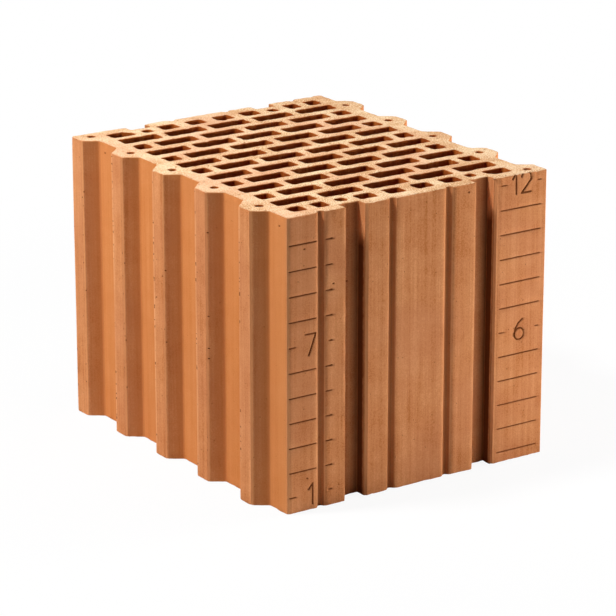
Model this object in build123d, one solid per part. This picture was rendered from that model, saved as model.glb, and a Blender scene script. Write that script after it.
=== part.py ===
from build123d import *
import os

# A large clay block for a masonry wall, extruded with upright perforations and cut to length.
# Millimetres. The origin is at the middle of the base: X runs along the wall and Y through it,
# the front face looks towards -Y, and the perforations run along Z.

# Overall sizes
core_width = 236.0           # between the groove floors of the two joint sides
wall_depth = 300.0           # from the front face to the back face
block_height = 238.0

# Tongues and grooves of the joint sides
tongue_count = 5
tongue_pitch = 62.2
tongue_height = 12.0
crest_width = 16.1
steep_flank_run = 8.4        # along Y, on the flank that looks towards the front
sloped_flank_run = 12.0      # along Y, on the flank that looks towards the back
steep_crest_radius = 1.5
sloped_crest_radius = 4.0
root_radius = 2.0
corner_radius = 2.0          # upright corner between a face and the groove floor beside it
tongue_hole_diameter = 5.8
tongue_hole_cover = 14.0     # from the crest to the middle of the hole

# Rebates and grooves of the front and back faces, which are alike when the block is turned round
wide_strip = 54.0            # from the groove floor to the first rebate
narrow_strip = 40.5          # from the second rebate to the other groove floor
rebate_width = 18.0
rebate_depth = 10.0
rebate_edge_radius = 3.0     # on the side of each rebate that lies towards the narrow strip
face_groove_radius = 2.8

# Perforations in the rows behind the two faces
face_wall = 12.5             # from a face to the first row
face_slot_width = 12.5       # along Y
face_side_wall = 15.0        # from a groove floor to the first slot of the row
strip_rebate_wall = 6.0      # between the wide strip's slots and the rebate
middle_rebate_wall = 4.7     # between the other slots and the rebate
strip_slot_count = 2
strip_slot_web = 9.0
middle_slot_count = 4
middle_slot_web = 11.3
rebate_slot_length = 8.0
rebate_floor_wall = 7.0      # from the floor of a rebate to the small slot behind it
cut_corner = 5.5             # on the slot of the narrow strip, beside the rebate

# Perforations in the rows between them, plain and staggered by turns
face_row_web = 7.35          # from the row behind a face to the next row
inner_row_count = 11
inner_row_web = 8.9
side_wall = 13.75            # from a groove floor to the first slot of a row
plain_slot_count = 5
plain_slot_web = 7.5
staggered_slot_count = 4     # long slots, with a short one at each end of the row
staggered_slot_web = 8.0
end_slot_length = 13.0
slot_radius = 2.0
radius_share = 0.45          # of a slot's shorter side, at most, where the slot is narrow

# Places that the sizes above give
side_x = core_width / 2
face_y = wall_depth / 2
crest_x = side_x + tongue_height
strip_end_x = -side_x + wide_strip
middle_start_x = strip_end_x + rebate_width
narrow_start_x = side_x - narrow_strip
middle_end_x = narrow_start_x - rebate_width
face_row_y = -face_y + face_wall
inner_rows_y = face_row_y + face_slot_width + face_row_web
inner_slot_width = (-2 * inner_rows_y - (inner_row_count - 1) * inner_row_web) / inner_row_count
# The next block is this one moved along the wall, so its tongues have to meet these grooves
crest_shift = tongue_pitch / 4
first_crest_y = crest_shift - (tongue_count - 1) * tongue_pitch / 2 - crest_width / 2
same_place = 0.01            # how close two coordinates are when they count as one


def turned_round(shape):
    """The same shape on the other side of the block, half a turn about the upright middle line."""
    return Rot(0, 0, 180) * shape


def spread(start, end, count, web):
    """Spans of one length that fill a stretch, with a web between neighbours."""
    length = (end - start - (count - 1) * web) / count
    return [(start + i * (length + web), start + i * (length + web) + length) for i in range(count)]


def slot(span, front_y, width):
    """One perforation with rounded corners, from its span along X and its front wall."""
    length = span[1] - span[0]
    radius = min(slot_radius, radius_share * length, radius_share * width)
    middle = Pos((span[0] + span[1]) / 2, front_y + width / 2)
    return middle * RectangleRounded(length, width, radius)


def tongue(front_y):
    """One tongue of the left joint side, from the place where its crest starts."""
    back_y = front_y + crest_width
    outline = Polygon(
        (-side_x, back_y + sloped_flank_run),
        (-crest_x, back_y),
        (-crest_x, front_y),
        (-side_x, front_y - steep_flank_run),
        align=None,
    )
    crest = outline.vertices().group_by(Axis.X)[0].sort_by(Axis.Y)
    outline = fillet(crest[0], steep_crest_radius)
    crest = outline.vertices().sort_by_distance((-crest_x, back_y))
    return fillet(crest[0], sloped_crest_radius)


def tongue_rows():
    """Where each tongue of the left joint side starts, from the front to the back."""
    return [first_crest_y + i * tongue_pitch for i in range(tongue_count)]


def block_outline():
    """The core with the tongues of both joint sides, cut off flush at the two faces."""
    side = Sketch() + [tongue(y) for y in tongue_rows()]
    outline = Rectangle(core_width, wall_depth) + side + turned_round(side)
    outline = outline & Rectangle(2 * crest_x, wall_depth)
    on_side = outline.vertices().filter_by(lambda v: abs(abs(v.X) - side_x) < same_place)
    roots = on_side.filter_by(lambda v: abs(abs(v.Y) - face_y) > same_place)
    outline = fillet(roots, root_radius)
    on_side = outline.vertices().filter_by(lambda v: abs(abs(v.X) - side_x) < same_place)
    corners = on_side.filter_by(lambda v: abs(abs(v.Y) - face_y) < same_place)
    return fillet(corners, corner_radius)


def rebate(start_x, end_x):
    """One rebate of the front face, with the edge at its end rolled over."""
    floor_y = -face_y + rebate_depth
    width = end_x - start_x
    channel = Pos(start_x + width / 2, floor_y - rebate_depth) * Rectangle(width, 2 * rebate_depth)
    lip = Pos(end_x + rebate_edge_radius / 2, -face_y + rebate_edge_radius / 2)
    lip = lip * Rectangle(rebate_edge_radius, rebate_edge_radius)
    roll = Pos(end_x + rebate_edge_radius, -face_y + rebate_edge_radius) * Circle(rebate_edge_radius)
    return channel + (lip - roll)


def wide_strip_slots():
    """Spans of the slots in the wide strip."""
    return spread(-side_x + face_side_wall, strip_end_x - strip_rebate_wall,
                  strip_slot_count, strip_slot_web)


def middle_slots():
    """Spans of the slots between the two rebates."""
    return spread(middle_start_x + middle_rebate_wall, middle_end_x - middle_rebate_wall,
                  middle_slot_count, middle_slot_web)


def face_grooves():
    """Half-round grooves of the front face, each in front of a web."""
    webs = [(a[1] + b[0]) / 2 for a, b in zip(wide_strip_slots(), wide_strip_slots()[1:])]
    pairs = list(zip(middle_slots(), middle_slots()[1:]))
    webs += [(a[1] + b[0]) / 2 for a, b in pairs[::2]]
    return Sketch() + [Pos(x, -face_y) * Circle(face_groove_radius) for x in webs]


def face_relief():
    """All that is cut into the front face, over the whole height of the block."""
    first = rebate(strip_end_x, middle_start_x)
    second = rebate(middle_end_x, narrow_start_x)
    return first + second + face_grooves()


def rebate_slot(start_x, end_x):
    """The small slot behind a rebate, on its middle line."""
    middle_x = (start_x + end_x) / 2
    front_y = -face_y + rebate_depth + rebate_floor_wall
    width = face_row_y + face_slot_width - front_y
    return slot((middle_x - rebate_slot_length / 2, middle_x + rebate_slot_length / 2), front_y, width)


def narrow_strip_slot():
    """The slot of the narrow strip, with a corner cut off where it comes near the rebate."""
    span = (narrow_start_x + middle_rebate_wall, side_x - face_side_wall)
    corner = Pos(span[0], face_row_y) * Rot(0, 0, 45) * Rectangle(
        cut_corner * 2 ** 0.5, cut_corner * 2 ** 0.5)
    return slot(span, face_row_y, face_slot_width) - corner


def face_row():
    """The row of perforations behind the front face."""
    row = [slot(span, face_row_y, face_slot_width) for span in wide_strip_slots() + middle_slots()]
    row += [rebate_slot(strip_end_x, middle_start_x), rebate_slot(middle_end_x, narrow_start_x)]
    return Sketch() + row + narrow_strip_slot()


def plain_spans():
    """Spans of a row of long slots."""
    return spread(-side_x + side_wall, side_x - side_wall, plain_slot_count, plain_slot_web)


def staggered_spans():
    """Spans of a row that starts and ends with a short slot."""
    row_end = side_x - side_wall
    long_end = row_end - end_slot_length - staggered_slot_web
    long_slots = spread(-long_end, long_end, staggered_slot_count, staggered_slot_web)
    first = (-row_end, -row_end + end_slot_length)
    last = (row_end - end_slot_length, row_end)
    return [first] + long_slots + [last]


def inner_rows():
    """The plain and staggered rows between the rows behind the two faces."""
    slots = []
    for i in range(inner_row_count):
        spans = plain_spans() if i % 2 == 0 else staggered_spans()
        row_y = inner_rows_y + i * (inner_slot_width + inner_row_web)
        slots += [slot(span, row_y, inner_slot_width) for span in spans]
    return Sketch() + slots


def tongue_holes():
    """A small round hole behind the crest of each tongue on the left joint side."""
    places = [Pos(-crest_x + tongue_hole_cover, y + crest_width / 2) for y in tongue_rows()]
    return Sketch() + [place * Circle(tongue_hole_diameter / 2) for place in places]


def block_section():
    """The section of the block, the same at every height."""
    relief = face_relief()
    front_holes = face_row() + tongue_holes()
    section = block_outline() - relief - turned_round(relief)
    return section - front_holes - turned_round(front_holes) - inner_rows()


clay_block = extrude(block_section(), block_height).solid()

os.makedirs("parts", exist_ok=True)
export_step(clay_block, "parts/clay_block.step")
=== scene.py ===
"""Looks of a perforated clay block: fired skin, wire-cut beds, torn rims and pressed gauge marks.

Everything is in metres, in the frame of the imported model: X runs along the wall, the front face
looks towards -Y and the perforations run along Z.
"""

import logging
import math
import random
from dataclasses import dataclass, field
from enum import Enum, IntEnum
from functools import cached_property
from typing import ClassVar

import bmesh
import bpy
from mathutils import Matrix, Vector, kdtree, noise

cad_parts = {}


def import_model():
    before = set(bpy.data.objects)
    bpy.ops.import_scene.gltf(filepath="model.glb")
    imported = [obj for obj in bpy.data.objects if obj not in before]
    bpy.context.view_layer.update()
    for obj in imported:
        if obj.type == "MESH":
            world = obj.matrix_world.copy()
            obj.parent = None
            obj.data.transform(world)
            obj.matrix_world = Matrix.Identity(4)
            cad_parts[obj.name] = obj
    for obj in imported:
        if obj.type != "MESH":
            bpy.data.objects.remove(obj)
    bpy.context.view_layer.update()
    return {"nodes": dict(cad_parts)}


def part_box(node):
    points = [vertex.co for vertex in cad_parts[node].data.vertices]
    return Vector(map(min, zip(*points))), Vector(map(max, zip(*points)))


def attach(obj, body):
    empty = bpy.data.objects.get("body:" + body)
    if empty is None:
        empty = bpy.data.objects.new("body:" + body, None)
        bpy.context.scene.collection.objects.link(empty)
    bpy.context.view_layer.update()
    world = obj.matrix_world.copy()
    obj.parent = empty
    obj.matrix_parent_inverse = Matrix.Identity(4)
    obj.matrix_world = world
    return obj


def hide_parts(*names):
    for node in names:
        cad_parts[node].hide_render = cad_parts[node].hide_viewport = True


LOG = logging.getLogger("clay_block")
MM = 0.001
WELD = 0.001 * MM  # points closer than this are one point
ALONG = 0.9  # share of a length or of a unit normal that counts as lying along an axis
Colour = tuple[float, float, float, float]
Span = tuple[float, float]
Box = tuple[float, float, float, float]


class Surface(IntEnum):
    """The three kinds of surface of the block, by their place among its materials."""

    SKIN = 0
    CUT_BED = 1
    SLOT_WALL = 2


class Axis(IntEnum):
    """An axis of the frame, by its place in a vector."""

    X = 0
    Y = 1
    Z = 2


class Layer(Enum):
    """Values from 0 to 1 that the mesh carries for its materials."""

    WEAR = "wear"  # convex edges
    ROOT = "root"  # concave edges, where the finishes paint shade
    CAVITY = "cavity"  # marks and pits, whose pit colour is partly painted shade
    RIM = "rim"  # what lies beside the wire's cut, where the finishes paint shade
    RECESS = "recess"  # painted shade between two tongues
    SMOKED = "smoked"  # painted shade in the rebates, face grooves and on steep flanks
    TORN = "torn"  # rounded edges of the crests: a painted highlight line and dark tears


@dataclass(frozen=True)
class Wander:
    """Smooth noise over space, with how far it takes to change along each axis."""

    wavelength: tuple[float, float, float]
    seed: float

    def at(self, place: Vector) -> float:
        """Its value at a place, between about -1 and 1."""
        x, y, z = (place[i] / self.wavelength[i] for i in range(3))
        return noise.noise(Vector((x + self.seed, y - 2.0 * self.seed, z + 3.0 * self.seed)))


# What the die drew along the clay, how the kiln bent it and how the skin ripples
STREAK = Wander((2.6 * MM, 2.6 * MM, 160.0 * MM), 11.0)
SWAY = Wander((55.0 * MM, 55.0 * MM, 90.0 * MM), 23.0)
RIPPLE = Wander((9.0 * MM, 9.0 * MM, 13.0 * MM), 31.0)
# How the wire dragged the rims along X and Y, and what it left on the beds
FINE_DRAG = (Wander((3.4 * MM,) * 3, 41.0), Wander((3.4 * MM,) * 3, 47.0))
COARSE_DRAG = (Wander((12.0 * MM,) * 3, 53.0), Wander((12.0 * MM,) * 3, 59.0))
ROLL = Wander((9.0 * MM,) * 3, 61.0)
SWELL = Wander((32.0 * MM,) * 3, 67.0)
CRUMB = Wander((5.0 * MM, 4.0 * MM, MM), 71.0)
HOLLOW = Wander((7.0 * MM, 5.5 * MM, MM), 79.0)
# The broken face of a chip
FLAKE = Wander((1.7 * MM,) * 3, 5.0)


def fade(distance: float, reach: float) -> float:
    """One at no distance, and less and less past the reach."""
    return math.exp(-distance / reach)


def step_up(low: float, high: float, value: float) -> float:
    """A smooth step from 0 at the low value to 1 at the high one."""
    t = min(max((value - low) / (high - low), 0.0), 1.0)
    return t * t * (3.0 - 2.0 * t)


def split_at(bm: bmesh.types.BMesh, faces: list, axis: Axis, place: float) -> list:
    """Cuts faces with a plane at right angles to an axis.

    Args:
        bm: The mesh.
        faces: The faces to cut.
        axis: The axis that the plane stands across.
        place: Where the plane meets the axis.

    Returns:
        The same faces after the cut, with the new ones.
    """
    normal = Vector((0.0, 0.0, 0.0))
    normal[axis] = 1.0
    edges = dict.fromkeys(edge for face in faces for edge in face.edges)
    verts = dict.fromkeys(vert for face in faces for vert in face.verts)
    cut = bmesh.ops.bisect_plane(
        bm, geom=[*verts, *edges, *faces], dist=WELD, plane_co=normal * place, plane_no=normal
    )
    return [item for item in cut["geom"] if isinstance(item, bmesh.types.BMFace)]


def split_levels(bm: bmesh.types.BMesh, faces: list, axis: Axis, places: list[float]) -> list:
    """Cuts faces at several places along an axis, each time only what lies beyond the last cut.

    Args:
        bm: The mesh.
        faces: The faces to cut.
        axis: The axis that the cuts stand across.
        places: Where they meet the axis.

    Returns:
        All the faces that came of it.
    """
    done = []
    for place in sorted(places):
        faces = split_at(bm, faces, axis, place)
        done += [face for face in faces if face.calc_center_median()[axis] <= place]
        faces = [face for face in faces if face.calc_center_median()[axis] > place]
    return done + faces


@dataclass(frozen=True)
class Groove:
    """A groove pressed into the face along a line of points (X, Z)."""

    points: tuple[Span, ...]
    half_width: float
    depth: float

    def depth_at(self, x: float, z: float) -> float:
        """How deep the groove is at a place of the face."""
        nearest = min(
            self._distance(a, b, x, z) for a, b in zip(self.points, self.points[1:])
        )
        share = min(nearest / self.half_width, 1.0)
        return self.depth * (1.0 - share * share)

    @staticmethod
    def _distance(a: Span, b: Span, x: float, z: float) -> float:
        """Distance from a place to the straight line between two points."""
        along_x, along_z = b[0] - a[0], b[1] - a[1]
        length = max(along_x * along_x + along_z * along_z, WELD * WELD)
        t = ((x - a[0]) * along_x + (z - a[1]) * along_z) / length
        t = min(max(t, 0.0), 1.0)
        return math.hypot(a[0] + t * along_x - x, a[1] + t * along_z - z)

    def box(self) -> Box:
        """The lowest and highest X, then the lowest and highest Z, that the groove reaches."""
        across = [x for x, _ in self.points]
        up = [z for _, z in self.points]
        reach = self.half_width
        return min(across) - reach, max(across) + reach, min(up) - reach, max(up) + reach


def round_stroke(centre: Span, radius: float, start: float, end: float) -> list[Span]:
    """Points of an arc, from one angle to another in degrees, about 20 degrees apart."""
    steps = max(int(abs(end - start) / 20.0), 1)
    angles = [math.radians(start + (end - start) * i / steps) for i in range(steps + 1)]
    return [(centre[0] + radius * math.cos(a), centre[1] + radius * math.sin(a)) for a in angles]


@dataclass(frozen=True)
class Numeral:
    """A plain number pressed into the face, digit by digit."""

    value: int
    middle: Span
    height: float = 17.0 * MM
    digit_gap: float = 0.30
    stroke_width: float = 1.8 * MM
    stroke_depth: float = 0.9 * MM

    def grooves(self) -> list[Groove]:
        """One groove for each stroke, in the frame."""
        digits = [self._strokes(digit) for digit in str(self.value)]
        widths = [max(x for stroke in strokes for x, _ in stroke) for strokes in digits]
        start = -(sum(widths) + self.digit_gap * (len(digits) - 1)) / 2.0
        grooves = []
        for strokes, width in zip(digits, widths):
            for stroke in strokes:
                points = tuple(self._placed(start + x, z) for x, z in stroke)
                grooves.append(Groove(points, self.stroke_width / 2.0, self.stroke_depth))
            start += width + self.digit_gap
        return grooves

    def box(self) -> Box:
        """The lowest and highest X, then the lowest and highest Z, of all its grooves."""
        lows_x, highs_x, lows_z, highs_z = zip(*(groove.box() for groove in self.grooves()))
        return min(lows_x), max(highs_x), min(lows_z), max(highs_z)

    def _placed(self, x: float, z: float) -> Span:
        """A point of the unit digit, at its place on the face."""
        return self.middle[0] + x * self.height, self.middle[1] + (z - 0.5) * self.height

    @staticmethod
    def _strokes(digit: str) -> list[list[Span]]:
        """The strokes of a digit one unit high."""
        bowl = 0.28
        strokes = {
            "1": [[(0.0, 0.74), (0.22, 1.0), (0.22, 0.0)]],
            "2": [
                round_stroke((bowl, 1.0 - bowl), bowl, 170.0, -35.0)
                + [(0.0, 0.0), (2.0 * bowl, 0.0)]
            ],
            "6": [
                round_stroke((bowl, bowl), bowl, 0.0, 360.0),
                round_stroke((0.78, bowl), 0.78, 180.0, 114.0),
            ],
            "7": [[(0.0, 1.0), (2.0 * bowl, 1.0), (0.18, 0.0)]],
        }
        return strokes[digit]


@dataclass(frozen=True)
class GaugeStrip:
    """A column of marks at equal steps, pressed into one strip of the front face."""

    first_mark: float
    pitch: float
    count: int
    spans: tuple[Span, ...]
    numbered: tuple[int, ...]
    number_place: float
    number_spans: tuple[Span, ...]
    dotted: tuple[int, ...] = ()
    line_width: float = 1.2 * MM
    line_depth: float = 0.9 * MM
    dot_width: float = 2.0 * MM
    dot_depth: float = 1.1 * MM

    def marks(self) -> list[tuple[float, tuple[Span, ...]]]:
        """The height of every mark, with the spans of its line."""
        heights = [self.first_mark + i * self.pitch for i in range(self.count)]
        return [
            (z, self.number_spans if i in self.numbered else self.spans)
            for i, z in enumerate(heights)
        ]

    def lines(self) -> list[Groove]:
        """The level grooves of every mark, and the dots that end some of them."""
        grooves = [
            Groove(((start, z), (end, z)), self.line_width / 2.0, self.line_depth)
            for z, spans in self.marks()
            for start, end in spans
        ]
        for i in self.dotted:
            z, spans = self.marks()[i]
            end = (spans[-1][1], z)
            grooves.append(Groove((end, end), self.dot_width / 2.0, self.dot_depth))
        return grooves

    def numerals(self) -> list[Numeral]:
        """The numbers of the marks that carry one."""
        return [
            Numeral(i + 1, (self.number_place, self.first_mark + i * self.pitch))
            for i in self.numbered
        ]


@dataclass(frozen=True)
class Chip:
    """A flake broken off an arris: all that stands past a plane is cut back to it."""

    place: Vector
    outward: Vector
    reach: float
    rough: float = 0.25 * MM

    def shift(self, place: Vector) -> Vector:
        """How far a point of the surface is cut back."""
        if (place - self.place).length > self.reach:
            return Vector((0.0, 0.0, 0.0))
        direction = self.outward.normalized()
        past = (place - self.place).dot(direction)
        broken = self.rough * FLAKE.at(place)
        return -direction * (past + broken) if past > 0.0 else Vector((0.0, 0.0, 0.0))


@dataclass(frozen=True)
class Pits:
    """Small pits, each pressed into a face of its own."""

    count: int
    inset: float
    depth: float
    cuts: int = 0
    least_area: float = 0.0


@dataclass(frozen=True)
class WireCut:
    """What the wire did where it cut the clay to length: torn rims, and beds with rolled edges."""

    # Rims dragged by the wire
    tear_depth: float = 0.80 * MM
    fine_reach: float = 2.5 * MM
    coarse_reach: float = 7.0 * MM
    coarse_share: float = 0.6
    skin_share: float = 0.7
    # Rims rolled over
    roll_depth: float = 0.55 * MM
    roll_middle: float = 0.75
    roll_spread: float = 0.5
    roll_reach: float = 2.0 * MM
    drop_share: float = 0.8
    drop_reach: float = 1.1 * MM
    # The bed between them
    swell_depth: float = 0.10 * MM
    crumb_depth: float = 0.10 * MM
    hollow_depth: float = 0.45 * MM
    hollow_gate: Span = (0.38, 0.62)

    def tear(self, flat: Vector, distance: float, wall: Vector, skin: bool) -> Vector:
        """How the wire dragged the clay beside a rim, less and less away from it.

        Args:
            flat: The place, without its height.
            distance: How far it lies from the rim.
            wall: The way that the wall of the rim faces.
            skin: Whether that wall is outer skin, which is never dragged outwards.

        Returns:
            The shift of the place.
        """
        fine = Vector((FINE_DRAG[0].at(flat), FINE_DRAG[1].at(flat), 0.0))
        coarse = Vector((COARSE_DRAG[0].at(flat), COARSE_DRAG[1].at(flat), 0.0))
        drag = fine * fade(distance, self.fine_reach)
        drag += self.coarse_share * coarse * fade(distance, self.coarse_reach)
        shift = self.tear_depth * drag
        if skin:
            outward = max(shift.dot(wall), 0.0)
            shift = self.skin_share * (shift - wall * outward)
        return shift

    def bed(self, flat: Vector, distance: float, wall: Vector, side: float) -> Vector:
        """How the wire left a bed: rolled at the rims, with a swell, crumbs and hollows.

        Args:
            flat: The place, without its height.
            distance: How far it lies from the nearest rim.
            wall: The way that the wall of the rim faces.
            side: 1 on the upper bed and -1 on the lower one.

        Returns:
            The shift of the place.
        """
        roll = self.roll_depth * (self.roll_middle + self.roll_spread * ROLL.at(flat))
        lower = self.swell_depth * (1.0 + SWELL.at(flat)) + self.crumb_depth * (1.0 + CRUMB.at(flat))
        lower += self.hollow_depth * step_up(*self.hollow_gate, HOLLOW.at(flat))
        lower += self.drop_share * roll * fade(distance, self.drop_reach)
        shift = -wall * roll * fade(distance, self.roll_reach)
        shift.z -= side * lower
        return shift


@dataclass(frozen=True)
class OuterSkin:
    """Where the outer skin gets painted shade, carries torn edges with a painted highlight and is rubbed
    soft, by its place on the block.
    """

    high: Vector
    # Painted shade between the tongues, and on their steep flanks
    tongue_height: float = 12.0 * MM
    side_share: float = 1.2
    recess_depth: float = 4.0 * MM
    steep_y: Span = (0.7, 0.8)
    steep_x: Span = (0.45, 0.55)
    steep_smoke: float = 0.27
    # Painted shade in the rebates of the two faces, whose places are the front's
    rebate_walls: tuple[float, ...] = (-46.0 * MM, 77.5 * MM)
    corner_reach: float = 5.0 * MM
    rebate_smoke: float = 0.05
    clean_share: float = 0.9
    clean_top: Span = (22.0 * MM, 36.0 * MM)
    # Painted shade in the face grooves, and the soft lips beside them
    face_grooves: tuple[float, ...] = (-86.5 * MM, -20.1 * MM, 33.6 * MM)
    groove_radius: float = 2.8 * MM
    groove_margin: float = 1.1
    groove_depths: Span = (3.0 * MM, 5.0 * MM)
    groove_smoke: float = 0.7
    lip_depth: float = 0.7 * MM
    lip_reach: float = 3.0 * MM
    # Torn edges, whose pale line is also a painted highlight, along the rounded edges of the crests, by how
    # far they have turned
    crest_reach: float = 4.0 * MM
    torn_start: Span = (0.01, 0.05)
    torn_end: Span = (0.15, 0.40)

    def shelter(self, place: Vector, wall: Vector) -> tuple[float, float]:
        """How much painted shade a point of the skin gets.

        Args:
            place: The point.
            wall: The way that the skin faces there.

        Returns:
            How deep it lies between two tongues, which sets the painted shade there, and how much
            darker painted shade it gets. That falls in the rebates and the face grooves, most of all at
            the side next to the narrow strip, and on the steep flanks of the tongues.
        """
        across = (self.high.x - abs(place.x)) / self.tongue_height
        depth = self.high.y - abs(place.y)
        through = min(depth / self.recess_depth, 1.0)
        if across < self.side_share:
            # Between the tongues: painted shade as deep as a point lies, and darker painted shade on the
            # steep flanks
            steep = step_up(*self.steep_y, abs(wall.y)) * step_up(*self.steep_x, abs(wall.x))
            smoked = self.steep_smoke * steep if wall.x * wall.y > 0.0 else 0.0
            return max(min(across, through), 0.0), smoked
        side = 1.0 if place.y < 0.0 else -1.0
        # Painted shade, darkest in the corner and on the end wall beside the narrow strip, and less near
        # the top of that wall, where the key lamp lights it
        corner = max(fade(abs(x - side * place.x), self.corner_reach) for x in self.rebate_walls)
        facing = max(-side * wall.x, 0.0)
        near_top = 1.0 - step_up(*self.clean_top, self.high.z - place.z)
        shallow = 1.0 - step_up(*self.groove_depths, depth)
        base = self.rebate_smoke + (self.groove_smoke - self.rebate_smoke) * shallow
        share = max(base, corner, facing) * (1.0 - self.clean_share * near_top * facing)
        return 0.0, max(through, 0.0) * share

    def lip_wear(self, place: Vector) -> float:
        """How far the soft lips of the face grooves lie in along Y at a point of the skin."""
        side = 1.0 if place.y < 0.0 else -1.0
        if self.high.y - abs(place.y) > self.groove_margin * self.groove_radius:
            return 0.0
        past = min(abs(x - side * place.x) for x in self.face_grooves) - self.groove_radius
        share = 1.0 - min(max(past / self.lip_reach, 0.0), 1.0)
        return side * self.lip_depth * share * share

    def at_crest(self, place: Vector) -> bool:
        """Whether a place lies at the crest of a tongue."""
        return abs(place.x) >= self.high.x - self.crest_reach

    def torn(self, place: Vector, wall: Vector) -> float:
        """How torn a point of the skin is: the larger rounded edges of the crests are, where the material
        puts a painted highlight line and dark tears.
        """
        if not self.at_crest(place) or wall.x * wall.y > 0.0:
            return 0.0
        turn = abs(wall.y)
        return step_up(*self.torn_start, turn) * (1.0 - step_up(*self.torn_end, turn))


@dataclass
class ClayBlock:
    """The block: the extruded form, cut into small faces and then worn and marked."""

    node: bpy.types.Object
    low: Vector
    high: Vector
    strips: tuple[GaugeStrip, ...]
    chips: tuple[Chip, ...]
    wire: WireCut = WireCut()
    # How finely the form is cut
    grid: float = 2.4 * MM
    grid_offset: float = 0.13 * MM
    arc_step: float = 0.45 * MM
    flat_angle: float = math.radians(0.3)
    sharp_angle: float = math.radians(35.0)
    side_step: float = 6.0 * MM
    end_level: float = 1.0 * MM
    upper_slot_levels: tuple[float, ...] = (1.0 * MM, 3.2 * MM, 10.0 * MM)
    lower_slot_levels: tuple[float, ...] = (1.2 * MM,)
    # The front face and its marks
    flat_facing: float = 0.99
    front_depth: float = 0.5 * MM
    line_reach: float = 1.0 * MM
    line_cuts: int = 3
    number_rows: int = 30
    number_columns: int = 3
    mark_shade_depth: float = 0.4 * MM
    # Worn arrises, from the turn of an edge in degrees
    worn_turn: Span = (5.0, 16.0)
    worn_arris: float = 0.50 * MM
    arris_spread: float = 0.6
    room_share: float = 0.6
    same_level: float = 0.01 * MM
    # Depths of the streak, the sway and the ripple
    skin_relief: tuple[float, float, float] = (0.05 * MM, 0.12 * MM, 0.05 * MM)
    slot_relief: tuple[float, float, float] = (0.12 * MM, 0.25 * MM, 0.10 * MM)
    skin_rim: float = 1.2 * MM
    bed_rim: float = 1.5 * MM
    # Pits, and the faces that they are pressed into
    pit_seed: int = 7
    tall_face: float = 5.0 * MM
    crest_turn: Span = (0.1, 0.66)
    plain_wear: float = 0.1
    crest_tears: Pits = Pits(240, 0.16 * MM, 0.55 * MM, cuts=4)
    face_pits: Pits = Pits(26, 0.75 * MM, 0.60 * MM, cuts=2, least_area=10.0 * MM * MM)
    bed_dimples: Pits = Pits(300, 0.70 * MM, 0.50 * MM, least_area=3.0 * MM * MM)
    layers: dict[Layer, object] = field(default_factory=dict)

    def build(self) -> bpy.types.Object:
        """Makes the detailed block.

        Returns:
            The new object, at the origin, with its place in its mesh.
        """
        bm = bmesh.new()
        for layer in Layer:
            self.layers[layer] = bm.verts.layers.float.new(layer.value)
        self._copy_section(bm)
        self._cut_grid(bm)
        self._extrude_section(bm)
        self._name_surfaces(bm)
        self._cut_marks(bm)
        self._cut_levels(bm)
        self._rate_edges(bm)
        self._work_surface(bm)
        self._press_pits(bm)
        self._keep_in_box(bm)
        self._set_edges(bm)
        mesh = bpy.data.meshes.new("fired_block")
        bm.to_mesh(mesh)
        bm.free()
        block = bpy.data.objects.new("fired_block", mesh)
        bpy.context.scene.collection.objects.link(block)
        return block

    @cached_property
    def skin(self) -> OuterSkin:
        """The outer skin of this block."""
        return OuterSkin(self.high)

    def _copy_section(self, bm: bmesh.types.BMesh) -> None:
        """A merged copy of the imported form, cut back to its base, with its flat faces whole."""
        bm.from_mesh(self.node.data)
        bmesh.ops.remove_doubles(bm, verts=bm.verts[:], dist=WELD)
        above = [vert for vert in bm.verts if vert.co.z > self.low.z + MM]
        bmesh.ops.delete(bm, geom=above, context="VERTS")
        bmesh.ops.remove_doubles(bm, verts=bm.verts[:], dist=self.arc_step)
        bmesh.ops.dissolve_limit(
            bm, angle_limit=self.flat_angle, verts=bm.verts[:], edges=bm.edges[:]
        )

    def _cut_grid(self, bm: bmesh.types.BMesh) -> None:
        """Cuts the section into a grid along X and Y."""
        for axis in (Axis.X, Axis.Y):
            span = self.high[axis] - self.low[axis]
            count = round(span / self.grid)
            start = self.low[axis] + self.grid_offset
            split_levels(bm, bm.faces[:], axis, [start + span * i / count for i in range(1, count)])

    def _extrude_section(self, bm: bmesh.types.BMesh) -> None:
        """Extrudes the section to the block's height."""
        extruded = bmesh.ops.extrude_face_region(bm, geom=bm.faces[:])
        top = [item for item in extruded["geom"] if isinstance(item, bmesh.types.BMVert)]
        rise = Vector((0.0, 0.0, self.high.z - self.low.z))
        bmesh.ops.translate(bm, vec=rise, verts=top)
        bmesh.ops.recalc_face_normals(bm, faces=bm.faces[:])

    def _name_surfaces(self, bm: bmesh.types.BMesh) -> None:
        """Tells the outer skin from the beds and the walls of the perforations."""
        upright = []
        for face in bm.faces:
            if abs(face.normal.z) > ALONG:
                face.material_index = Surface.CUT_BED
            else:
                face.material_index = Surface.SLOT_WALL
                upright.append(face)
        outermost = min(upright, key=lambda face: face.calc_center_median().x)
        outermost.material_index = Surface.SKIN
        open_faces = [outermost]
        while open_faces:
            for edge in open_faces.pop().edges:
                for face in edge.link_faces:
                    if face.material_index == Surface.SLOT_WALL:
                        face.material_index = Surface.SKIN
                        open_faces.append(face)

    def _faces(self, bm: bmesh.types.BMesh, surface: Surface) -> list:
        """The faces of one kind of surface."""
        return [face for face in bm.faces if face.material_index == surface]

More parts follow.
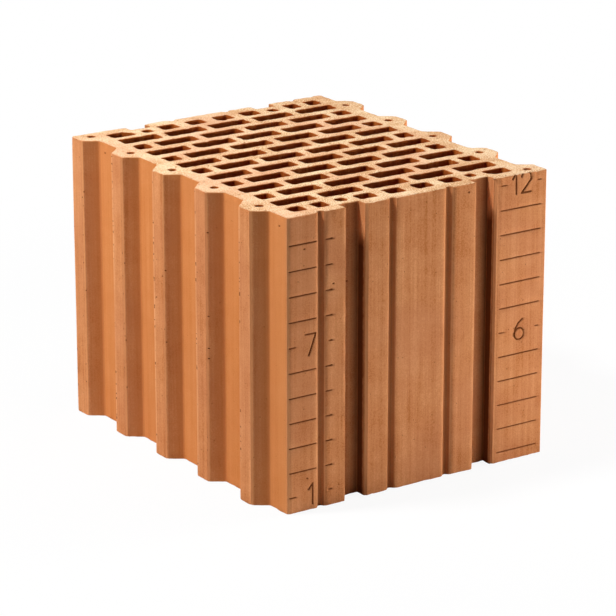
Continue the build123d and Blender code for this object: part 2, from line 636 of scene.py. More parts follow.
    def _cut_marks(self, bm: bmesh.types.BMesh) -> None:
        """Cuts the front face finely where the gauge marks are pressed in."""
        front = self._front_faces(bm)
        bands = []
        patches = []
        numerals = [numeral.box() for strip in self.strips for numeral in strip.numerals()]
        for strip in self.strips:
            for z, spans in strip.marks():
                low, high = z - self.line_reach, z + self.line_reach
                boxes = [
                    (start - self.line_reach, end + self.line_reach, low, high)
                    for start, end in spans
                ]
                front, band = self._cut_out(bm, front, boxes)
                bands += band
        for box in numerals:
            front, patch = self._cut_out(bm, front, [box])
            patches += patch
        self._divide(bm, bands, Axis.Z, self.line_cuts)
        self._divide(bm, patches, Axis.Z, self.number_rows)
        cells = [
            face for face in self._front_faces(bm)
            if any(self._inside(face.calc_center_median(), box) for box in numerals)
        ]
        self._divide(bm, cells, Axis.X, self.number_columns)

    def _front_faces(self, bm: bmesh.types.BMesh) -> list:
        """The faces that lie in the plane of the front."""
        return [
            face for face in self._faces(bm, Surface.SKIN)
            if face.normal.y < -self.flat_facing and face.verts[0].co.y < self.low.y + MM
        ]

    @staticmethod
    def _inside(place: Vector, box: Box) -> bool:
        """Whether a place lies in a box of X and Z."""
        return box[0] <= place.x <= box[1] and box[2] <= place.z <= box[3]

    @staticmethod
    def _cut_out(bm: bmesh.types.BMesh, faces: list, boxes: list[Box]) -> tuple[list, list]:
        """Cuts upright faces at the bottom and the top of boxes that lie side by side.

        Args:
            bm: The mesh.
            faces: The faces of one plane.
            boxes: Boxes of X and Z, all of one height.

        Returns:
            All the faces, and those of them that lie in the boxes.
        """
        low, high = boxes[0][2:]
        near = []
        others = []
        for face in faces:
            across = [vert.co.x for vert in face.verts]
            up = [vert.co.z for vert in face.verts]
            beside = any(max(across) >= box[0] and min(across) <= box[1] for box in boxes)
            level = max(up) >= low and min(up) <= high
            (near if level and beside else others).append(face)
        near = split_levels(bm, near, Axis.Z, [low, high])
        inside = [face for face in near if low < face.calc_center_median().z < high]
        return others + near, inside

    @staticmethod
    def _divide(bm: bmesh.types.BMesh, faces: list, axis: Axis, cuts: int) -> list:
        """Divides four-sided faces into equal parts along an axis.

        Args:
            bm: The mesh.
            faces: The faces to divide.
            axis: The axis that the parts follow each other along.
            cuts: How many cuts each face gets.

        Returns:
            The parts.
        """
        edges = dict.fromkeys(
            edge for face in faces for edge in face.edges
            if abs(edge.verts[0].co[axis] - edge.verts[1].co[axis]) > ALONG * edge.calc_length()
        )
        divided = bmesh.ops.subdivide_edges(bm, edges=list(edges), cuts=cuts)
        parts = dict.fromkeys(
            face for item in divided["geom_inner"] if isinstance(item, bmesh.types.BMEdge)
            for face in item.link_faces
        )
        return list(parts)

    def _cut_levels(self, bm: bmesh.types.BMesh) -> None:
        """Cuts the upright faces into levels, closer together where the detail is finer."""
        height = self.high.z - self.low.z
        slot_levels = [self.low.z + level for level in self.lower_slot_levels]
        slot_levels += [self.high.z - level for level in self.upper_slot_levels]
        split_levels(bm, self._faces(bm, Surface.SLOT_WALL), Axis.Z, slot_levels)
        count = round(height / self.side_step)
        side_levels = [self.low.z + height * i / count for i in range(1, count)]
        ends = [self.low.z + self.end_level, self.high.z - self.end_level]
        split_levels(bm, self._faces(bm, Surface.SKIN), Axis.Z, side_levels + ends)

    def _rate_edges(self, bm: bmesh.types.BMesh) -> None:
        """Marks the points of convex edges as worn and those of concave ones as roots."""
        bm.normal_update()
        wear, root = self.layers[Layer.WEAR], self.layers[Layer.ROOT]
        for edge in bm.edges:
            if len(edge.link_faces) != 2:
                continue
            if any(face.material_index != Surface.SKIN for face in edge.link_faces):
                continue
            turn = math.degrees(edge.calc_face_angle_signed(0.0))
            layer = wear if turn > 0.0 else root
            share = step_up(*self.worn_turn, abs(turn))
            for vert in edge.verts:
                vert[layer] = max(vert[layer], share)

    def _work_surface(self, bm: bmesh.types.BMesh) -> None:
        """Moves every point by what the die, the wire, the fire and use did to the surface."""
        walls = self._walls(bm)
        beds = self._beds(bm)
        rims = [vert for vert in beds if vert in walls]
        near = kdtree.KDTree(len(rims))
        for i, vert in enumerate(rims):
            near.insert((vert.co.x, vert.co.y, 0.0), i)
        near.balance()
        shifts = {vert: self._upright_shift(vert, *walls[vert]) for vert in walls}
        for vert, side in beds.items():
            flat = Vector((vert.co.x, vert.co.y, 0.0))
            _, i, distance = near.find(flat)
            wall, skin = walls[rims[i]]
            if vert not in walls:
                shifts[vert] = self.wire.tear(flat, distance, wall, skin)
            shifts[vert] += self.wire.bed(flat, distance, wall, side)
            # Painted shade beside the rims of the beds
            vert[self.layers[Layer.RIM]] = fade(distance, self.bed_rim)
        for vert, shift in shifts.items():
            vert.co += shift
            for chip in self.chips:
                vert.co += chip.shift(vert.co)

    @staticmethod
    def _walls(bm: bmesh.types.BMesh) -> dict:
        """The way that the wall faces at each of its points, and whether it is outer skin there."""
        walls = {}
        for vert in bm.verts:
            upright = [face for face in vert.link_faces if face.material_index != Surface.CUT_BED]
            wall = sum((face.normal for face in upright), Vector((0.0, 0.0, 0.0)))
            if wall.length > 0.0:
                skin = any(face.material_index == Surface.SKIN for face in upright)
                walls[vert] = (wall.normalized(), skin)
        return walls

    def _beds(self, bm: bmesh.types.BMesh) -> dict:
        """The points of the beds, with 1 for those of the upper one and -1 for the lower one."""
        middle = (self.low.z + self.high.z) / 2.0
        return {
            vert: 1.0 if vert.co.z > middle else -1.0
            for vert in bm.verts
            if any(face.material_index == Surface.CUT_BED for face in vert.link_faces)
        }

    def _upright_shift(self, vert: bmesh.types.BMVert, wall: Vector, skin: bool) -> Vector:
        """What the die, the wire and the fire did to a point of an upright surface.

        Args:
            vert: The point, which also gets its values for the materials.
            wall: The way that the surface faces there.
            skin: Whether it is outer skin, and not the wall of a perforation.

        Returns:
            The shift of the point.
        """
        place = vert.co
        depth = min(place.z - self.low.z, self.high.z - place.z)
        relief = [part.at(place) for part in (STREAK, SWAY, RIPPLE)]
        if skin:
            # Painted shade along the top and bottom edges
            vert[self.layers[Layer.RIM]] = fade(depth, self.skin_rim)
            # Painted shade between the tongues, in the rebates and face grooves and on steep flanks
            recess, smoked = self.skin.shelter(place, wall)
            vert[self.layers[Layer.RECESS]] = recess
            vert[self.layers[Layer.SMOKED]] = smoked
            # Torn crest edges: a painted highlight line and dark tears
            vert[self.layers[Layer.TORN]] = self.skin.torn(place, wall)
            inward = sum(part * (1.0 + value) for part, value in zip(self.skin_relief, relief))
            rubbed = self.worn_arris * vert[self.layers[Layer.WEAR]]
            rubbed *= 1.0 + self.arris_spread * RIPPLE.at(place)
            shift = -wall * (inward + min(rubbed, self._room(vert)))
            shift.y += self.skin.lip_wear(place)
        else:
            shift = wall * sum(part * value for part, value in zip(self.slot_relief, relief))
        shift += self.wire.tear(Vector((place.x, place.y, 0.0)), depth, wall, skin)
        if skin and wall.y < -ALONG and place.y < self.low.y + self.front_depth:
            pressed = self._pressed(place.x, place.z)
            if pressed > 0.0:
                vert[self.layers[Layer.CAVITY]] = min(pressed / self.mark_shade_depth, 1.0)
                shift.y += pressed
        return shift

    def _room(self, vert: bmesh.types.BMVert) -> float:
        """How far a point may move before it comes near the next one on its level."""
        level = [
            edge.calc_length() for edge in vert.link_edges
            if abs(edge.verts[0].co.z - edge.verts[1].co.z) < self.same_level
        ]
        return self.room_share * min(level, default=MM)

    def _pressed(self, x: float, z: float) -> float:
        """How deep the gauge marks are pressed in at a place of the front face."""
        deepest = 0.0
        for box, groove in self._grooves:
            if box[0] <= x <= box[1] and box[2] <= z <= box[3]:
                deepest = max(deepest, groove.depth_at(x, z))
        return deepest

    @cached_property
    def _grooves(self) -> list[tuple[Box, Groove]]:
        """Every groove of the gauge marks, with the box that it reaches."""
        grooves = []
        for strip in self.strips:
            grooves += strip.lines()
            for numeral in strip.numerals():
                grooves += numeral.grooves()
        return [(groove.box(), groove) for groove in grooves]

    def _press_pits(self, bm: bmesh.types.BMesh) -> None:
        """Presses small pits: tears along the rounded crests, pores in the skin and the beds."""
        bm.normal_update()
        draw = random.Random(self.pit_seed)
        wear, root, cavity = (self.layers[layer] for layer in (Layer.WEAR, Layer.ROOT, Layer.CAVITY))
        tall = [
            face for face in self._faces(bm, Surface.SKIN)
            if len(face.verts) == 4 and max(edge.calc_length() for edge in face.edges) > self.tall_face
        ]
        rounded = [
            face for face in tall
            if self.crest_turn[0] < abs(face.normal.y) < self.crest_turn[1]
            and self.skin.at_crest(face.calc_center_median())
        ]
        plain = [
            face for face in tall
            if all(vert[wear] + vert[root] < self.plain_wear for vert in face.verts)
        ]
        beds = self._faces(bm, Surface.CUT_BED)
        kinds = []
        for pits, faces in ((self.crest_tears, rounded), (self.face_pits, plain), (self.bed_dimples, beds)):
            faces = [face for face in faces if face.calc_area() > pits.least_area]
            if pits.cuts:
                some = draw.sample(self._in_order(faces), pits.count)
                faces = self._divide(bm, some, Axis.Z, pits.cuts)
            kinds.append((pits, faces))
        for pits, faces in kinds:
            chosen = self._apart(draw.sample(self._in_order(faces), len(faces)), pits.count)
            bmesh.ops.inset_individual(
                bm, faces=chosen, thickness=pits.inset, depth=-pits.depth, use_even_offset=True
            )
            for face in chosen:
                for vert in face.verts:
                    vert[cavity] = 1.0

    @staticmethod
    def _in_order(faces: list) -> list:
        """Faces by their place, so that a seeded draw takes the same ones every time."""
        return sorted(faces, key=lambda face: [round(value, 6) for value in face.calc_center_median()])

    @staticmethod
    def _apart(faces: list, count: int) -> list:
        """The first faces of a list that stand clear of each other, up to a count."""
        taken = set()
        chosen = []
        for face in faces:
            if len(chosen) < count and taken.isdisjoint(face.verts):
                chosen.append(face)
                around = {other for vert in face.verts for other in vert.link_faces}
                taken.update(vert for other in around for vert in other.verts)
        return chosen

    def _keep_in_box(self, bm: bmesh.types.BMesh) -> None:
        """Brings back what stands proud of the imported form's box."""
        for vert in bm.verts:
            for axis in Axis:
                vert.co[axis] = min(max(vert.co[axis], self.low[axis]), self.high[axis])

    def _set_edges(self, bm: bmesh.types.BMesh) -> None:
        """Shades the block smooth, apart from its sharp edges."""
        bm.normal_update()
        for face in bm.faces:
            face.smooth = True
        for edge in bm.edges:
            edge.smooth = edge.calc_face_angle(0.0) < self.sharp_angle


@dataclass
class Nodes:
    """A short way to write a node tree."""

    tree: bpy.types.NodeTree

    def add(self, kind: str, **settings) -> bpy.types.Node:
        """Adds a node and sets its own properties."""
        node = self.tree.nodes.new(kind)
        for name, value in settings.items():
            setattr(node, name, value)
        return node

    def feed(self, socket: bpy.types.NodeSocket, source: object) -> None:
        """Links a socket to an output, or sets its value."""
        if isinstance(source, bpy.types.NodeSocket):
            self.tree.links.new(source, socket)
        else:
            socket.default_value = source

    def math(self, operation: str, *inputs: object) -> bpy.types.NodeSocket:
        """A Math node of up to three inputs."""
        node = self.add("ShaderNodeMath", operation=operation)
        for socket, source in zip(node.inputs, inputs):
            self.feed(socket, source)
        return node.outputs[0]

    def group(self, tree: bpy.types.NodeTree, values: dict[str, object]) -> bpy.types.Node:
        """Places a shared node group and feeds its inputs by their names."""
        node = self.add("ShaderNodeGroup", node_tree=tree)
        for name, value in values.items():
            self.feed(node.inputs[name], value)
        return node

    def span(self, value: object, low: float, high: float, to_low: float = 0.0,
             to_high: float = 1.0) -> bpy.types.NodeSocket:
        """Maps a range of values onto another, held at its ends."""
        node = self.add("ShaderNodeMapRange", interpolation_type="SMOOTHSTEP")
        for name, source in (
            ("Value", value), ("From Min", low), ("From Max", high),
            ("To Min", to_low), ("To Max", to_high),
        ):
            self.feed(node.inputs[name], source)
        return node.outputs["Result"]

    def noise(self, vector: object, scale: object, detail: float = 2.0,
              roughness: float = 0.5) -> bpy.types.NodeSocket:
        """Smooth noise from 0 to 1."""
        node = self.add("ShaderNodeTexNoise")
        self.feed(node.inputs["Vector"], vector)
        self.feed(node.inputs["Scale"], scale)
        node.inputs["Detail"].default_value = detail
        node.inputs["Roughness"].default_value = roughness
        return node.outputs["Fac"]

    def stretched(self, scale: tuple[float, float, float]) -> bpy.types.NodeSocket:
        """Object coordinates, stretched along each axis."""
        place = self.add("ShaderNodeTexCoord")
        mapping = self.add("ShaderNodeMapping")
        self.feed(mapping.inputs["Vector"], place.outputs["Object"])
        mapping.inputs["Scale"].default_value = scale
        return mapping.outputs["Vector"]

    def layer(self, layer: Layer) -> bpy.types.NodeSocket:
        """A value that the mesh carries."""
        return self.add("ShaderNodeAttribute", attribute_name=layer.value).outputs["Fac"]

    def mix(self, share: object, first: object, second: object) -> bpy.types.NodeSocket:
        """A mix of two colours."""
        node = self.add("ShaderNodeMix", data_type="RGBA")
        self.feed(node.inputs["Factor"], share)
        self.feed(node.inputs["A"], first)
        self.feed(node.inputs["B"], second)
        return node.outputs["Result"]

    def bump(self, height: object, distance: float, strength: float,
             normal: object = None) -> bpy.types.NodeSocket:
        """A Bump node, on top of another one where that is given."""
        node = self.add("ShaderNodeBump")
        self.feed(node.inputs["Height"], height)
        node.inputs["Distance"].default_value = distance
        node.inputs["Strength"].default_value = strength
        if normal is not None:
            self.feed(node.inputs["Normal"], normal)
        return node.outputs["Normal"]


def colour(red: float, green: float, blue: float) -> Colour:
    """An opaque colour in linear values."""
    return red, green, blue, 1.0


WHITE = colour(1.0, 1.0, 1.0)
NOISE_SPAN = (0.3, 0.7)  # where nearly all values of a noise texture lie


@dataclass(frozen=True)
class Effect:
    """A node group that the finishes share. It puts out only values."""

    name: ClassVar[str]
    inputs: ClassVar[dict[str, str]]
    outputs: ClassVar[tuple[str, ...]]

    def build(self) -> bpy.types.NodeTree:
        """Makes the group with its sockets.

        Returns:
            The node group.
        """
        tree = bpy.data.node_groups.new(self.name, "ShaderNodeTree")
        for name, kind in self.inputs.items():
            tree.interface.new_socket(name, in_out="INPUT", socket_type=kind)
        for name in self.outputs:
            tree.interface.new_socket(name, in_out="OUTPUT", socket_type="NodeSocketFloat")
        nodes = Nodes(tree)
        given = nodes.add("NodeGroupInput")
        result = nodes.add("NodeGroupOutput")
        for name, value in self.wire(nodes, given).items():
            nodes.feed(result.inputs[name], value)
        return tree

    def wire(self, nodes: Nodes, given: bpy.types.Node) -> dict[str, bpy.types.NodeSocket]:
        """Adds the group's own nodes.

        Args:
            nodes: The group's node tree.
            given: The node that holds what the group is given.

        Returns:
            What the group puts out, by name.
        """
        raise NotImplementedError


@dataclass(frozen=True)
class GrainGroup(Effect):
    """The fired clay's clouds, mottle, fine grain and pores."""

    name: ClassVar[str] = "fired_grain"
    inputs: ClassVar[dict[str, str]] = {"Pore Share": "NodeSocketFloat"}
    outputs: ClassVar[tuple[str, ...]] = ("Cloud", "Mottle", "Speckle", "Pores", "Height")
    cloud_scale: float = 13.0
    mottle_scale: float = 45.0
    speckle_scale: float = 900.0
    pore_scale: float = 260.0
    pore_places: float = 150.0
    pore_edge: Span = (0.05, 0.21)
    speckle_height: float = 0.35

    def wire(self, nodes: Nodes, given: bpy.types.Node) -> dict[str, bpy.types.NodeSocket]:
        """Noise of three sizes, and round pores in some of a Voronoi texture's cells."""
        place = nodes.stretched((1.0, 1.0, 1.0))
        speckle = nodes.noise(place, self.speckle_scale, detail=3.0, roughness=0.65)
        cells = nodes.add("ShaderNodeTexVoronoi", feature="F1")
        nodes.feed(cells.inputs["Vector"], place)
        nodes.feed(cells.inputs["Scale"], self.pore_scale)
        gate = nodes.noise(place, self.pore_places, detail=1.0)
        chosen = nodes.math("LESS_THAN", gate, given.outputs["Pore Share"])
        hollow = nodes.span(cells.outputs["Distance"], *self.pore_edge, 1.0, 0.0)
        pores = nodes.math("MULTIPLY", hollow, chosen)
        return {
            "Cloud": nodes.noise(place, self.cloud_scale),
            "Mottle": nodes.noise(place, self.mottle_scale, detail=4.0, roughness=0.6),
            "Speckle": speckle,
            "Pores": pores,
            "Height": nodes.math("SUBTRACT", nodes.math("MULTIPLY", speckle, self.speckle_height), pores),
        }


@dataclass(frozen=True)
class StreakGroup(Effect):
    """Streaks that the die drew along the clay."""

    name: ClassVar[str] = "die_streaks"
    inputs: ClassVar[dict[str, str]] = {"Stretch": "NodeSocketVector"}
    outputs: ClassVar[tuple[str, ...]] = ("Streak", "Height")
    broad_scale: float = 180.0
    fine_scale: float = 700.0
    broad_share: float = 0.6
    fine_share: float = 0.4

    def wire(self, nodes: Nodes, given: bpy.types.Node) -> dict[str, bpy.types.NodeSocket]:
        """Broad and fine noise, drawn out along the stretch."""
        drawn = nodes.add("ShaderNodeVectorMath", operation="MULTIPLY")
        nodes.feed(drawn.inputs[0], nodes.add("ShaderNodeTexCoord").outputs["Object"])
        nodes.feed(drawn.inputs[1], given.outputs["Stretch"])
        broad = nodes.noise(drawn.outputs[0], self.broad_scale, roughness=0.6)
        fine = nodes.noise(drawn.outputs[0], self.fine_scale, roughness=0.6)
        broad_part = nodes.math("MULTIPLY", broad, self.broad_share)
        return {"Streak": nodes.math("MULTIPLY_ADD", fine, self.fine_share, broad_part), "Height": fine}


@dataclass(frozen=True)
class WearGroup(Effect):
    """A mask that breaks up a value that the mesh carries, as wear does: for worn edges, and for painted
    shade along concave edges and by the rims.
    """

    name: ClassVar[str] = "broken_edge"
    inputs: ClassVar[dict[str, str]] = {"Amount": "NodeSocketFloat", "Breakup": "NodeSocketFloat"}
    outputs: ClassVar[tuple[str, ...]] = ("Mask",)
    scale: float = 320.0
    draw: tuple[float, float, float] = (1.0, 1.0, 0.45)
    edge: Span = (0.25, 0.85)

    def wire(self, nodes: Nodes, given: bpy.types.Node) -> dict[str, bpy.types.NodeSocket]:
        """The amount, with rough noise added to it, cut to a mask."""
        rough = nodes.noise(nodes.stretched(self.draw), self.scale, detail=3.0, roughness=0.65)
        broken = nodes.math("MULTIPLY", nodes.math("SUBTRACT", rough, 0.5), given.outputs["Breakup"])
        return {"Mask": nodes.span(nodes.math("ADD", given.outputs["Amount"], broken), *self.edge)}


@dataclass(frozen=True)
class TornGroup(Effect):
    """A pale rubbed line along a torn edge, which is also a painted highlight, and short level tears
    gathered in places, whose dark is painted shade.
    """

    name: ClassVar[str] = "level_tears"
    inputs: ClassVar[dict[str, str]] = {"Amount": "NodeSocketFloat"}
    outputs: ClassVar[tuple[str, ...]] = ("Rubbed", "Tears")
    line_scale: float = 130.0
    line_draw: tuple[float, float, float] = (1.0, 1.0, 0.12)
    line_edge: Span = (0.36, 0.56)
    line_share: Span = (0.15, 0.85)
    tear_scale: float = 420.0
    tear_draw: tuple[float, float, float] = (0.25, 0.25, 1.0)
    tear_edge: Span = (0.58, 0.63)
    gather_scale: float = 40.0
    gather_edge: Span = (0.42, 0.54)
    wide_edge: Span = (0.25, 0.6)

    def wire(self, nodes: Nodes, given: bpy.types.Node) -> dict[str, bpy.types.NodeSocket]:
        """Noise drawn out upwards for the line, and drawn out level for the tears."""
        amount = given.outputs["Amount"]
        along = nodes.noise(nodes.stretched(self.line_draw), self.line_scale)
        line = nodes.span(along, *self.line_edge, *self.line_share)
        level = nodes.noise(nodes.stretched(self.tear_draw), self.tear_scale)
        gathered = nodes.noise(nodes.stretched((1.0, 1.0, 1.0)), self.gather_scale)
        tears = nodes.math(
            "MULTIPLY", nodes.span(level, *self.tear_edge), nodes.span(gathered, *self.gather_edge)
        )
        return {
            "Rubbed": nodes.math("MULTIPLY", line, amount),
            "Tears": nodes.math("MULTIPLY", tears, nodes.span(amount, *self.wide_edge)),
        }


@dataclass
class ClayEffects:
    """The node groups that the finishes share."""

    grain: bpy.types.NodeTree
    streaks: bpy.types.NodeTree
    wear: bpy.types.NodeTree
    torn: bpy.types.NodeTree

    @classmethod
    def make(cls) -> "ClayEffects":
        """Builds each group once."""
        return cls(
            GrainGroup().build(), StreakGroup().build(), WearGroup().build(), TornGroup().build()
        )


@dataclass(frozen=True)
class ClayFinish:
    """A finish of fired clay, worn, and with painted shade and a painted highlight from the shared effects.
    """

    name: str
    base: Colour
    pale: Colour
    deep: Colour
    pit: Colour
    cloud: Colour
    # Tone of painted shade between the tongues, redder than the clay
    recess: Colour = colour(0.620, 0.215, 0.055)
    # Tone of painted shade in the rebates, face grooves and on steep flanks
    smoked: Colour = colour(0.090, 0.024, 0.005)
    # Pale rubbed line on torn edges, which is also a painted highlight
    rubbed: Colour = colour(0.780, 0.385, 0.175)
    stretch: tuple[float, float, float] = (1.0, 1.0, 0.02)
    cloud_edge: Span = (0.42, 0.64)
    cloud_share: float = 0.4
    streak_share: float = 0.55
    mottle_share: float = 0.55
    speckle_share: float = 0.45
    pore_share: float = 0.36
    pore_shade: float = 0.6
    # Shares of pale worn edges, of painted shade along concave edges, by the rims, between the tongues and
    # in rebates, grooves and on steep flanks, and of the torn edges' painted highlight and tears
    wear_share: float = 0.5
    root_share: float = 0.5
    rim_share: float = 0.0
    breakup: float = 0.9
    recess_share: float = 0.0
    smoke_share: float = 0.0
    torn_share: float = 0.0
    cavity_edge: Span = (0.3, 1.0)
    cavity_share: float = 0.92
    grain_depth: float = 0.25 * MM
    grain_bump: float = 0.9
    streak_depth: float = 0.10 * MM
    streak_bump: float = 0.8
    roughness: float = 0.92
    roughness_spread: Span = (-0.06, 0.04)
    gloss: float = 0.15

    def build(self, effects: ClayEffects) -> bpy.types.Material:
        """Makes the material.

        Args:
            effects: The shared node groups.

        Returns:
            The material, with its uniform values on the shader's own sockets.
        """
        material = bpy.data.materials.new(self.name)
        material.use_nodes = True
        nodes = Nodes(material.node_tree)
        shader = material.node_tree.nodes["Principled BSDF"]
        grain = nodes.group(effects.grain, {"Pore Share": self.pore_share})
        streaks = nodes.group(effects.streaks, {"Stretch": self.stretch})
        shade = self._shade(nodes, grain, streaks)
        shade = self._weather(nodes, effects, shade)
        # Pit colour in the pressed marks and pits, partly darker clay and partly painted shade
        cavity = nodes.span(nodes.layer(Layer.CAVITY), *self.cavity_edge, 0.0, self.cavity_share)
        nodes.feed(shader.inputs["Base Color"], nodes.mix(cavity, shade, self.pit))
        smooth, rough = (self.roughness + part for part in self.roughness_spread)
        roughness = nodes.span(grain.outputs["Speckle"], *NOISE_SPAN, smooth, rough)
        nodes.feed(shader.inputs["Roughness"], roughness)
        drawn = nodes.bump(streaks.outputs["Height"], self.streak_depth, self.streak_bump)
        relief = nodes.bump(grain.outputs["Height"], self.grain_depth, self.grain_bump, drawn)
        nodes.feed(shader.inputs["Normal"], relief)
        nodes.feed(shader.inputs["Specular IOR Level"], self.gloss)
        return material

    def _shade(self, nodes: Nodes, grain: bpy.types.Node, streaks: bpy.types.Node) -> object:
        """The colour of the clay with its clouds, mottle, streaks, speckle and pores."""
        tone = 0.5
        for value, share in (
            (grain.outputs["Mottle"], self.mottle_share),
            (streaks.outputs["Streak"], self.streak_share),
            (grain.outputs["Speckle"], self.speckle_share),
        ):
            part = nodes.span(value, *NOISE_SPAN, -0.5, 0.5)
            tone = nodes.math("MULTIPLY_ADD", part, share, tone)
        shade = nodes.mix(nodes.span(tone, 0.0, 0.5, 1.0, 0.0), self.base, self.deep)
        shade = nodes.mix(nodes.span(tone, 0.5, 1.0), shade, self.pale)
        cloud = nodes.span(grain.outputs["Cloud"], *self.cloud_edge, 0.0, self.cloud_share)
        shade = nodes.mix(cloud, shade, self.cloud)
        pores = nodes.math("MULTIPLY", grain.outputs["Pores"], self.pore_shade)
        return nodes.mix(pores, shade, self.pit)

    def _weather(self, nodes: Nodes, effects: ClayEffects, shade: object) -> object:
        """Adds painted shade, a painted highlight and pale worn edges to the colour.

        Args:
            nodes: The material's node tree.
            effects: The shared node groups.
            shade: The colour so far.

        Returns:
            The colour with painted shade between the tongues, in the rebates, face grooves and on steep
            flanks, along concave edges and by the rims; with pale worn edges; and on the torn edges a pale
            rubbed line that is also a painted highlight, and dark tears of painted shade. A share of 0
            leaves a part out.
        """
        # Painted shade between the tongues, and in the rebates, face grooves and on steep flanks
        for layer, share, tone in (
            (Layer.RECESS, self.recess_share, self.recess),
            (Layer.SMOKED, self.smoke_share, self.smoked),
        ):
            if share > 0.0:
                shade = nodes.mix(nodes.math("MULTIPLY", nodes.layer(layer), share), shade, tone)
        # Pale worn edges, and painted shade along concave edges and by the rims
        for layer, share, tone in (
            (Layer.WEAR, self.wear_share, self.pale),
            (Layer.ROOT, self.root_share, self.deep),
            (Layer.RIM, self.rim_share, self.deep),
        ):
            if share > 0.0:
                worn = nodes.group(effects.wear, {"Amount": nodes.layer(layer), "Breakup": self.breakup})
                shade = nodes.mix(nodes.math("MULTIPLY", worn.outputs["Mask"], share), shade, tone)
        # On torn crest edges: a pale rubbed line that is also a painted highlight, and dark tears of
        # painted shade
        if self.torn_share > 0.0:
            torn = nodes.group(effects.torn, {"Amount": nodes.layer(Layer.TORN)})
            shade = nodes.mix(torn.outputs["Rubbed"], shade, self.rubbed)
            tears = nodes.math("MULTIPLY", torn.outputs["Tears"], self.torn_share)
            shade = nodes.mix(tears, shade, self.pit)
        return shade


FIRED_SKIN = ClayFinish(
    name="fired_skin",
    base=colour(0.600, 0.236, 0.090),
    pale=colour(0.700, 0.310, 0.130),
    deep=colour(0.480, 0.160, 0.050),
    pit=colour(0.130, 0.034, 0.007),
    cloud=colour(0.560, 0.215, 0.100),
    cloud_share=0.3,
    mottle_share=0.40,
    # Painted shade between the tongues, in rebates, grooves, on steep flanks and by the rims; a painted
    # highlight and shaded tears on torn crest edges
    recess_share=0.6,
    smoke_share=0.95,
    torn_share=0.85,
    gloss=0.05,
    wear_share=0.75,
    rim_share=0.35,
)
CUT_BED = ClayFinish(
    name="wire_cut_bed",
    base=colour(0.870, 0.535, 0.285),
    pale=colour(0.980, 0.790, 0.520),
    deep=colour(0.600, 0.290, 0.125),
    pit=colour(0.360, 0.150, 0.060),
    cloud=colour(0.870, 0.470, 0.290),
    stretch=(0.06, 1.0, 1.0),
    cloud_share=0.45,
    streak_share=0.30,
    mottle_share=0.60,
    speckle_share=1.50,
    pore_share=0.50,
    rim_share=0.40,
    grain_depth=0.60 * MM,
    streak_depth=0.15 * MM,
    roughness=0.95,
    gloss=0.10,
)
# Walls of the perforations: the clay's colours made much darker and redder, as painted shade of the deep
# slots
SLOT_SHADE_CLAY = ClayFinish(
    name="slot_wall",
    base=colour(0.370, 0.075, 0.008),
    pale=colour(0.540, 0.160, 0.032),
    deep=colour(0.235, 0.040, 0.004),
    pit=colour(0.070, 0.018, 0.003),
    cloud=colour(0.390, 0.090, 0.013),
    grain_depth=0.30 * MM,
)


def direction(azimuth: float, elevation: float) -> Vector:
    """The way to a place seen from the block, in degrees round from its front and up."""
    turn, rise = math.radians(azimuth), math.radians(elevation)
    level = math.cos(rise)
    return Vector((math.sin(turn) * level, -math.cos(turn) * level, math.sin(rise)))


@dataclass(frozen=True)
class Softbox:
    """A square lamp with a soft front, turned towards the middle of the block."""

    name: str
    azimuth: float
    elevation: float
    distance: float
    size: float
    power: float
    middle_height: float = 0.12

    def build(self) -> bpy.types.Object:
        """Makes the lamp."""
        way = direction(self.azimuth, self.elevation)
        lamp = bpy.data.lights.new(self.name, "AREA")
        lamp.shape = "SQUARE"
        lamp.size = self.size
        lamp.energy = self.power
        box = bpy.data.objects.new(self.name, lamp)
        box.location = Vector((0.0, 0.0, self.middle_height)) + way * self.distance
        box.rotation_euler = way.to_track_quat("Z", "Y").to_euler()
        box.visible_camera = False
        bpy.context.scene.collection.objects.link(box)
        return box


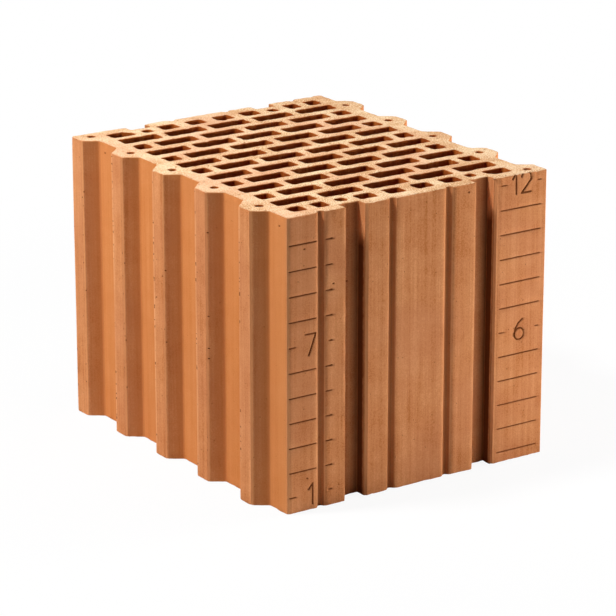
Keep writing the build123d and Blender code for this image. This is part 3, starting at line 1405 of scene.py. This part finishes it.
@dataclass
class Studio:
    """The floor, the white surround, the lamps and the camera."""

    azimuth: float = -34.31
    elevation: float = 17.84
    distance: float = 2.59015
    target: Vector = field(default_factory=lambda: Vector((0.010222, 0.010455, 0.101891)))
    lens: float = 184.7
    sensor: float = 36.0
    floor_size: float = 12.0
    floor_white: float = 0.88
    floor_roughness: float = 0.9
    floor_glow: float = 0.92
    shadow_reach: Span = (0.25, 0.75)
    lamps: tuple[Softbox, ...] = (
        Softbox("key_lamp", 260.0, 58.0, 1.5, 0.2, 22.0),
        Softbox("low_back_lamp", 240.0, 10.0, 0.8, 0.37, 1.04),
        Softbox("front_lamp", 57.0, 1.0, 0.95, 0.45, 6.7),
        Softbox("side_lamp", 80.0, 30.0, 1.4, 0.6, 8.4),
        Softbox("low_front_card", 40.0, -9.0, 0.6, 0.25, 0.60),
    )

    def build(self) -> None:
        """Sets the whole studio up."""
        self._make_camera()
        self._make_floor()
        self._make_surround()
        for lamp in self.lamps:
            lamp.build()
        bpy.context.scene.view_settings.view_transform = "Standard"

    def _make_camera(self) -> None:
        """The camera, at the photograph's viewing angle."""
        back = direction(self.azimuth, self.elevation)
        lens = bpy.data.cameras.new("camera")
        lens.lens = self.lens
        lens.sensor_width = self.sensor
        camera = bpy.data.objects.new("camera", lens)
        camera.location = self.target + back * self.distance
        camera.rotation_euler = back.to_track_quat("Z", "Y").to_euler()
        bpy.context.scene.collection.objects.link(camera)
        bpy.context.scene.camera = camera

    def _make_floor(self) -> None:
        """A white floor that keeps the block's shadow."""
        bm = bmesh.new()
        bmesh.ops.create_grid(bm, x_segments=1, y_segments=1, size=self.floor_size / 2.0)
        mesh = bpy.data.meshes.new("floor")
        bm.to_mesh(mesh)
        bm.free()
        mesh.materials.append(self._floor_material())
        floor = bpy.data.objects.new("floor", mesh)
        bpy.context.scene.collection.objects.link(floor)

    def _floor_material(self) -> bpy.types.Material:
        """White to the camera, apart from a share that takes light and shadow near the block."""
        material = bpy.data.materials.new("white_floor")
        material.use_nodes = True
        nodes = Nodes(material.node_tree)
        matte = material.node_tree.nodes["Principled BSDF"]
        grey = colour(self.floor_white, self.floor_white, self.floor_white)
        nodes.feed(matte.inputs["Base Color"], grey)
        nodes.feed(matte.inputs["Roughness"], self.floor_roughness)
        glow = nodes.add("ShaderNodeEmission")
        nodes.feed(glow.inputs["Color"], WHITE)
        away = nodes.add("ShaderNodeVectorMath", operation="LENGTH")
        nodes.feed(away.inputs[0], nodes.stretched((1.0, 1.0, 1.0)))
        glowing = nodes.span(away.outputs["Value"], *self.shadow_reach, self.floor_glow, 1.0)
        mixed = nodes.add("ShaderNodeMixShader")
        nodes.feed(mixed.inputs["Fac"], nodes.math("MULTIPLY", self._seen_share(nodes), glowing))
        nodes.feed(mixed.inputs[1], matte.outputs["BSDF"])
        nodes.feed(mixed.inputs[2], glow.outputs["Emission"])
        nodes.feed(material.node_tree.nodes["Material Output"].inputs["Surface"], mixed.outputs[0])
        return material

    def _make_surround(self) -> None:
        """White to the camera, and dark to the block, which only the lamps and the floor light."""
        world = bpy.data.worlds.new("surround")
        bpy.context.scene.world = world
        world.use_nodes = True
        nodes = Nodes(world.node_tree)
        white = world.node_tree.nodes["Background"]
        nodes.feed(white.inputs["Color"], WHITE)
        nodes.feed(white.inputs["Strength"], self._seen_share(nodes))

    @staticmethod
    def _seen_share(nodes: Nodes) -> bpy.types.NodeSocket:
        """One for what the camera sees, directly or by a reflection or through glass."""
        path = nodes.add("ShaderNodeLightPath")
        seen = nodes.math("MAXIMUM", path.outputs["Is Camera Ray"], path.outputs["Is Glossy Ray"])
        return nodes.math("MAXIMUM", seen, path.outputs["Is Transmission Ray"])


LEFT_STRIP = GaugeStrip(
    first_mark=13.5 * MM,
    pitch=20.2 * MM,
    count=11,
    spans=((-116.0 * MM, -91.0 * MM), (-82.0 * MM, -76.9 * MM)),
    numbered=(0, 6),
    number_place=-96.5 * MM,
    number_spans=((-116.0 * MM, -110.0 * MM), (-80.0 * MM, -76.9 * MM)),
    dotted=(0, 1, 2, 3, 5, 6, 7, 8, 10),
)
RIGHT_STRIP = GaugeStrip(
    first_mark=9.0 * MM,
    pitch=20.15 * MM,
    count=12,
    spans=((84.0 * MM, 123.0 * MM),),
    numbered=(5, 11),
    number_place=104.0 * MM,
    number_spans=((84.0 * MM, 89.0 * MM), (119.0 * MM, 124.0 * MM)),
)
CHIPS = (
    Chip(Vector((-129.3 * MM, 146.0 * MM, 237.2 * MM)), Vector((-1.0, 0.4, 1.0)), 7.0 * MM),
    Chip(Vector((-129.2 * MM, -115.5 * MM, 0.7 * MM)), Vector((-1.0, -0.6, -1.0)), 6.0 * MM),
    Chip(Vector((-117.3 * MM, -149.3 * MM, 0.6 * MM)), Vector((-0.6, -1.0, -1.0)), 6.0 * MM),
    Chip(Vector((-64.6 * MM, -149.4 * MM, 0.7 * MM)), Vector((0.8, -0.8, -1.0)), 6.0 * MM),
    Chip(Vector((78.4 * MM, -148.6 * MM, 1.0 * MM)), Vector((-0.5, -1.0, -1.2)), 7.0 * MM),
    Chip(Vector((117.4 * MM, -149.4 * MM, 237.4 * MM)), Vector((1.0, -0.8, 0.8)), 5.0 * MM),
    Chip(Vector((-129.4 * MM, -102.0 * MM, 237.4 * MM)), Vector((-1.0, 0.6, 1.0)), 6.0 * MM),
)


def main() -> None:
    """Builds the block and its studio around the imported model."""
    logging.basicConfig(level=logging.INFO)
    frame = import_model()
    Studio().build()
    low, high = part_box("clay_block")
    maker = ClayBlock(frame["nodes"]["clay_block"], low, high, (LEFT_STRIP, RIGHT_STRIP), CHIPS)
    block = maker.build()
    effects = ClayEffects.make()
    for finish in (FIRED_SKIN, CUT_BED, SLOT_SHADE_CLAY):
        block.data.materials.append(finish.build(effects))
    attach(block, "root")
    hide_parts("clay_block")
    triangles = sum(len(face.vertices) - 2 for face in block.data.polygons)
    LOG.info("%s: %d triangles", block.name, triangles)
    bpy.context.view_layer.update()


if __name__ == "__main__":
    main()
